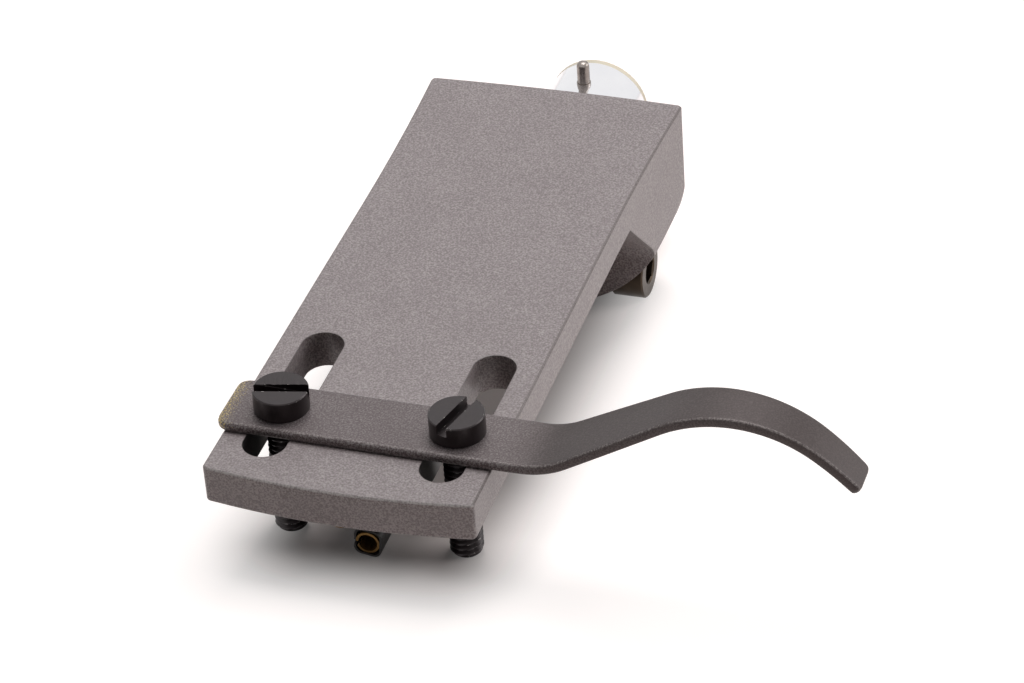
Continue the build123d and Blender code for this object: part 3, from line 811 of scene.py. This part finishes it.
tree.links.new(worn_black.outputs[0], output.inputs["Surface"])

# Each screw: its side, its slot's turn and its lean in degrees, and its burr in mm
screws = {"left": (-1, 13.6, 1.4, 0.03), "right": (1, 75.0, 0.3, 0.008)}
random.seed(7)
for name, (side, slot_turn, lean, burr) in screws.items():
    mesh = slotted_head(burr * MM)
    turned = Matrix.Rotation(radians(slot_turn), 3, "Z")
    bmesh.ops.rotate(mesh, verts=mesh.verts, cent=(0, 0, 0), matrix=turned)
    threaded_shank(mesh)
    leaning = Matrix.Rotation(radians(lean), 3, "Y")
    bmesh.ops.rotate(mesh, verts=mesh.verts, cent=(0, 0, 0), matrix=leaning)
    screw_x = side * screw_spacing / 2 + screws_shift
    bmesh.ops.translate(mesh, verts=mesh.verts, vec=(screw_x * MM, screw_row_y * MM, seat_z))
    show_mesh("screw_" + name, mesh, screw_black, "cartridge_screw_" + name)


# The stage: a white table that the headshell rests on with its two screw ends
# and the block's underside, so the table slopes in the headshell's own frame.
touch_y = screw_row_y * MM
touch_z = -2.02 * MM
table_slope = -0.1448
# In metres, so that its edge stays out of every view
table_half = 3.0
table_corners = [(sx * table_half, touch_y + sy * table_half, touch_z + table_slope * sy * table_half)
                 for sx, sy in ((-1, -1), (1, -1), (1, 1), (-1, 1))]
table_mesh = bpy.data.meshes.new("table_top")
table_mesh.from_pydata(table_corners, [], [(0, 1, 2, 3)])
table = bpy.data.objects.new("table_top", table_mesh)
bpy.context.scene.collection.objects.link(table)
# The card's glow is held back under and round this oblong, so the cast shadow shows darker there, partly
# a painted shadow; away from it the card fades to white
shadow_shift = (2.6 * MM, 21.3 * MM, 0)
shadow_turn = (0, 0, radians(-3.7))
shadow_half = (4.4 * MM, 24.4 * MM, 1.0)
shadow_fade = 8.5 * MM
glow_in_shadow, glow_beyond = 0.03, 0.75
# Fibres are too fine to show, so the card is drawn with their clouding, a few millimetres wide
fibre_cloud = 3.0 * MM


def seen_by_camera(tree):
    """1 for rays that show a surface, straight or mirrored or through glass, and 0 for those it lights."""
    rays = add_node(tree, "ShaderNodeLightPath").outputs
    seen = rays["Is Camera Ray"]
    for kind in ("Is Glossy Ray", "Is Transmission Ray"):
        seen = add_node(tree, "ShaderNodeMath", {0: seen, 1: rays[kind]}, operation="MAXIMUM").outputs[0]
    return seen


# White card, lit grey so that it holds the shadow, with a painted glow of its own that only the camera
# sees and that lights nothing: a white page, with a soft shadow partly painted by holding the glow back
white_card, tree, output, place = start_material("white_card")
fibres = add_node(tree, "ShaderNodeTexNoise", {"Vector": place, "Scale": 1 / fibre_cloud})
tone = add_node(tree, "ShaderNodeMix",
                {0: fibres.outputs["Fac"], 6: linear("#C8BEBB"), 7: linear("#C3B9B6")}, data_type="RGBA")
card = add_node(tree, "ShaderNodeBsdfDiffuse", {"Color": tone.outputs[2]})
centred = add_node(tree, "ShaderNodeMapping",
                   {"Vector": place, "Location": shadow_shift, "Rotation": shadow_turn})
mirrored = add_node(tree, "ShaderNodeVectorMath", {0: centred.outputs[0]}, operation="ABSOLUTE")
beyond = add_node(tree, "ShaderNodeVectorMath", {0: mirrored.outputs[0], 1: shadow_half},
                  operation="SUBTRACT")
outside = add_node(tree, "ShaderNodeVectorMath", {0: beyond.outputs[0], 1: (0, 0, 0)},
                   operation="MAXIMUM")
distance = add_node(tree, "ShaderNodeVectorMath", {0: outside.outputs[0]}, operation="LENGTH")
fade = add_node(tree, "ShaderNodeMapRange",
                {"Value": distance.outputs["Value"], "From Max": shadow_fade,
                 "To Min": glow_in_shadow, "To Max": glow_beyond}, interpolation_type="SMOOTHSTEP")
glow_strength = add_node(tree, "ShaderNodeMath", {0: seen_by_camera(tree), 1: fade.outputs["Result"]},
                         operation="MULTIPLY")
glow = add_node(tree, "ShaderNodeEmission",
                {"Color": linear("#FFFDFC"), "Strength": glow_strength.outputs[0]})
both = add_node(tree, "ShaderNodeAddShader", {0: card.outputs[0], 1: glow.outputs[0]})
tree.links.new(both.outputs[0], output.inputs["Surface"])
table_mesh.materials.append(white_card)


# Studio light: a white room that gives little light, a large soft lamp behind and above, and a smaller
# one at the right rear
room_light, room_seen = 0.05, 1.0
world = bpy.data.worlds.new("white_room")
bpy.context.scene.world = world
world.use_nodes = True
tree = world.node_tree
tree.nodes.clear()
strength = add_node(tree, "ShaderNodeMapRange",
                    {"Value": seen_by_camera(tree), "To Min": room_light, "To Max": room_seen})
sky = add_node(tree, "ShaderNodeBackground",
               {"Color": (1, 1, 1, 1), "Strength": strength.outputs["Result"]})
add_node(tree, "ShaderNodeOutputWorld", {"Surface": sky.outputs[0]})


def soft_lamp(name, place, aim, side, watts):
    """A square lamp at a place, turned to face what it is aimed at."""
    lamp = bpy.data.lights.new(name, "AREA")
    lamp.shape = "SQUARE"
    lamp.size = side
    lamp.energy = watts
    holder = bpy.data.objects.new(name, lamp)
    holder.location = place
    holder.rotation_euler = (Vector(aim) - Vector(place)).to_track_quat("-Z", "Y").to_euler()
    bpy.context.scene.collection.objects.link(holder)


plate_middle = (0, -0.025, 0.005)
soft_lamp("key_lamp", place=(0.01, 0.11, 0.40), aim=plate_middle, side=0.30, watts=1.30)
soft_lamp("side_lamp", place=(0.33, 0.14, 0.14), aim=plate_middle, side=0.22, watts=0.50)


# Camera: a long lens in front of the headshell, above it and to its right. Its turn is an axis whose
# length is the angle
focal_pixels = 3793.73
image_width = 1024
film_width = 36
camera_place = (0.08044, -0.23534, 0.16202)
camera_turn = Vector((2.1815790, 0.2994516, -0.2391696))
camera_data = bpy.data.cameras.new("camera")
camera_data.sensor_width = film_width
camera_data.lens = focal_pixels * film_width / image_width
camera_data.clip_start = 0.01
camera = bpy.data.objects.new("camera", camera_data)
turn = Matrix.Rotation(camera_turn.length, 3, camera_turn.normalized())
# The turn's camera looks along its Z with Y down, and the scene's along -Z with Y up
flip = Matrix(((1, 0, 0), (0, -1, 0), (0, 0, -1)))
camera.matrix_world = Matrix.Translation(camera_place) @ (flip @ turn).transposed().to_4x4()
bpy.context.scene.collection.objects.link(camera)
bpy.context.scene.camera = camera
bpy.context.scene.view_settings.view_transform = "Standard"
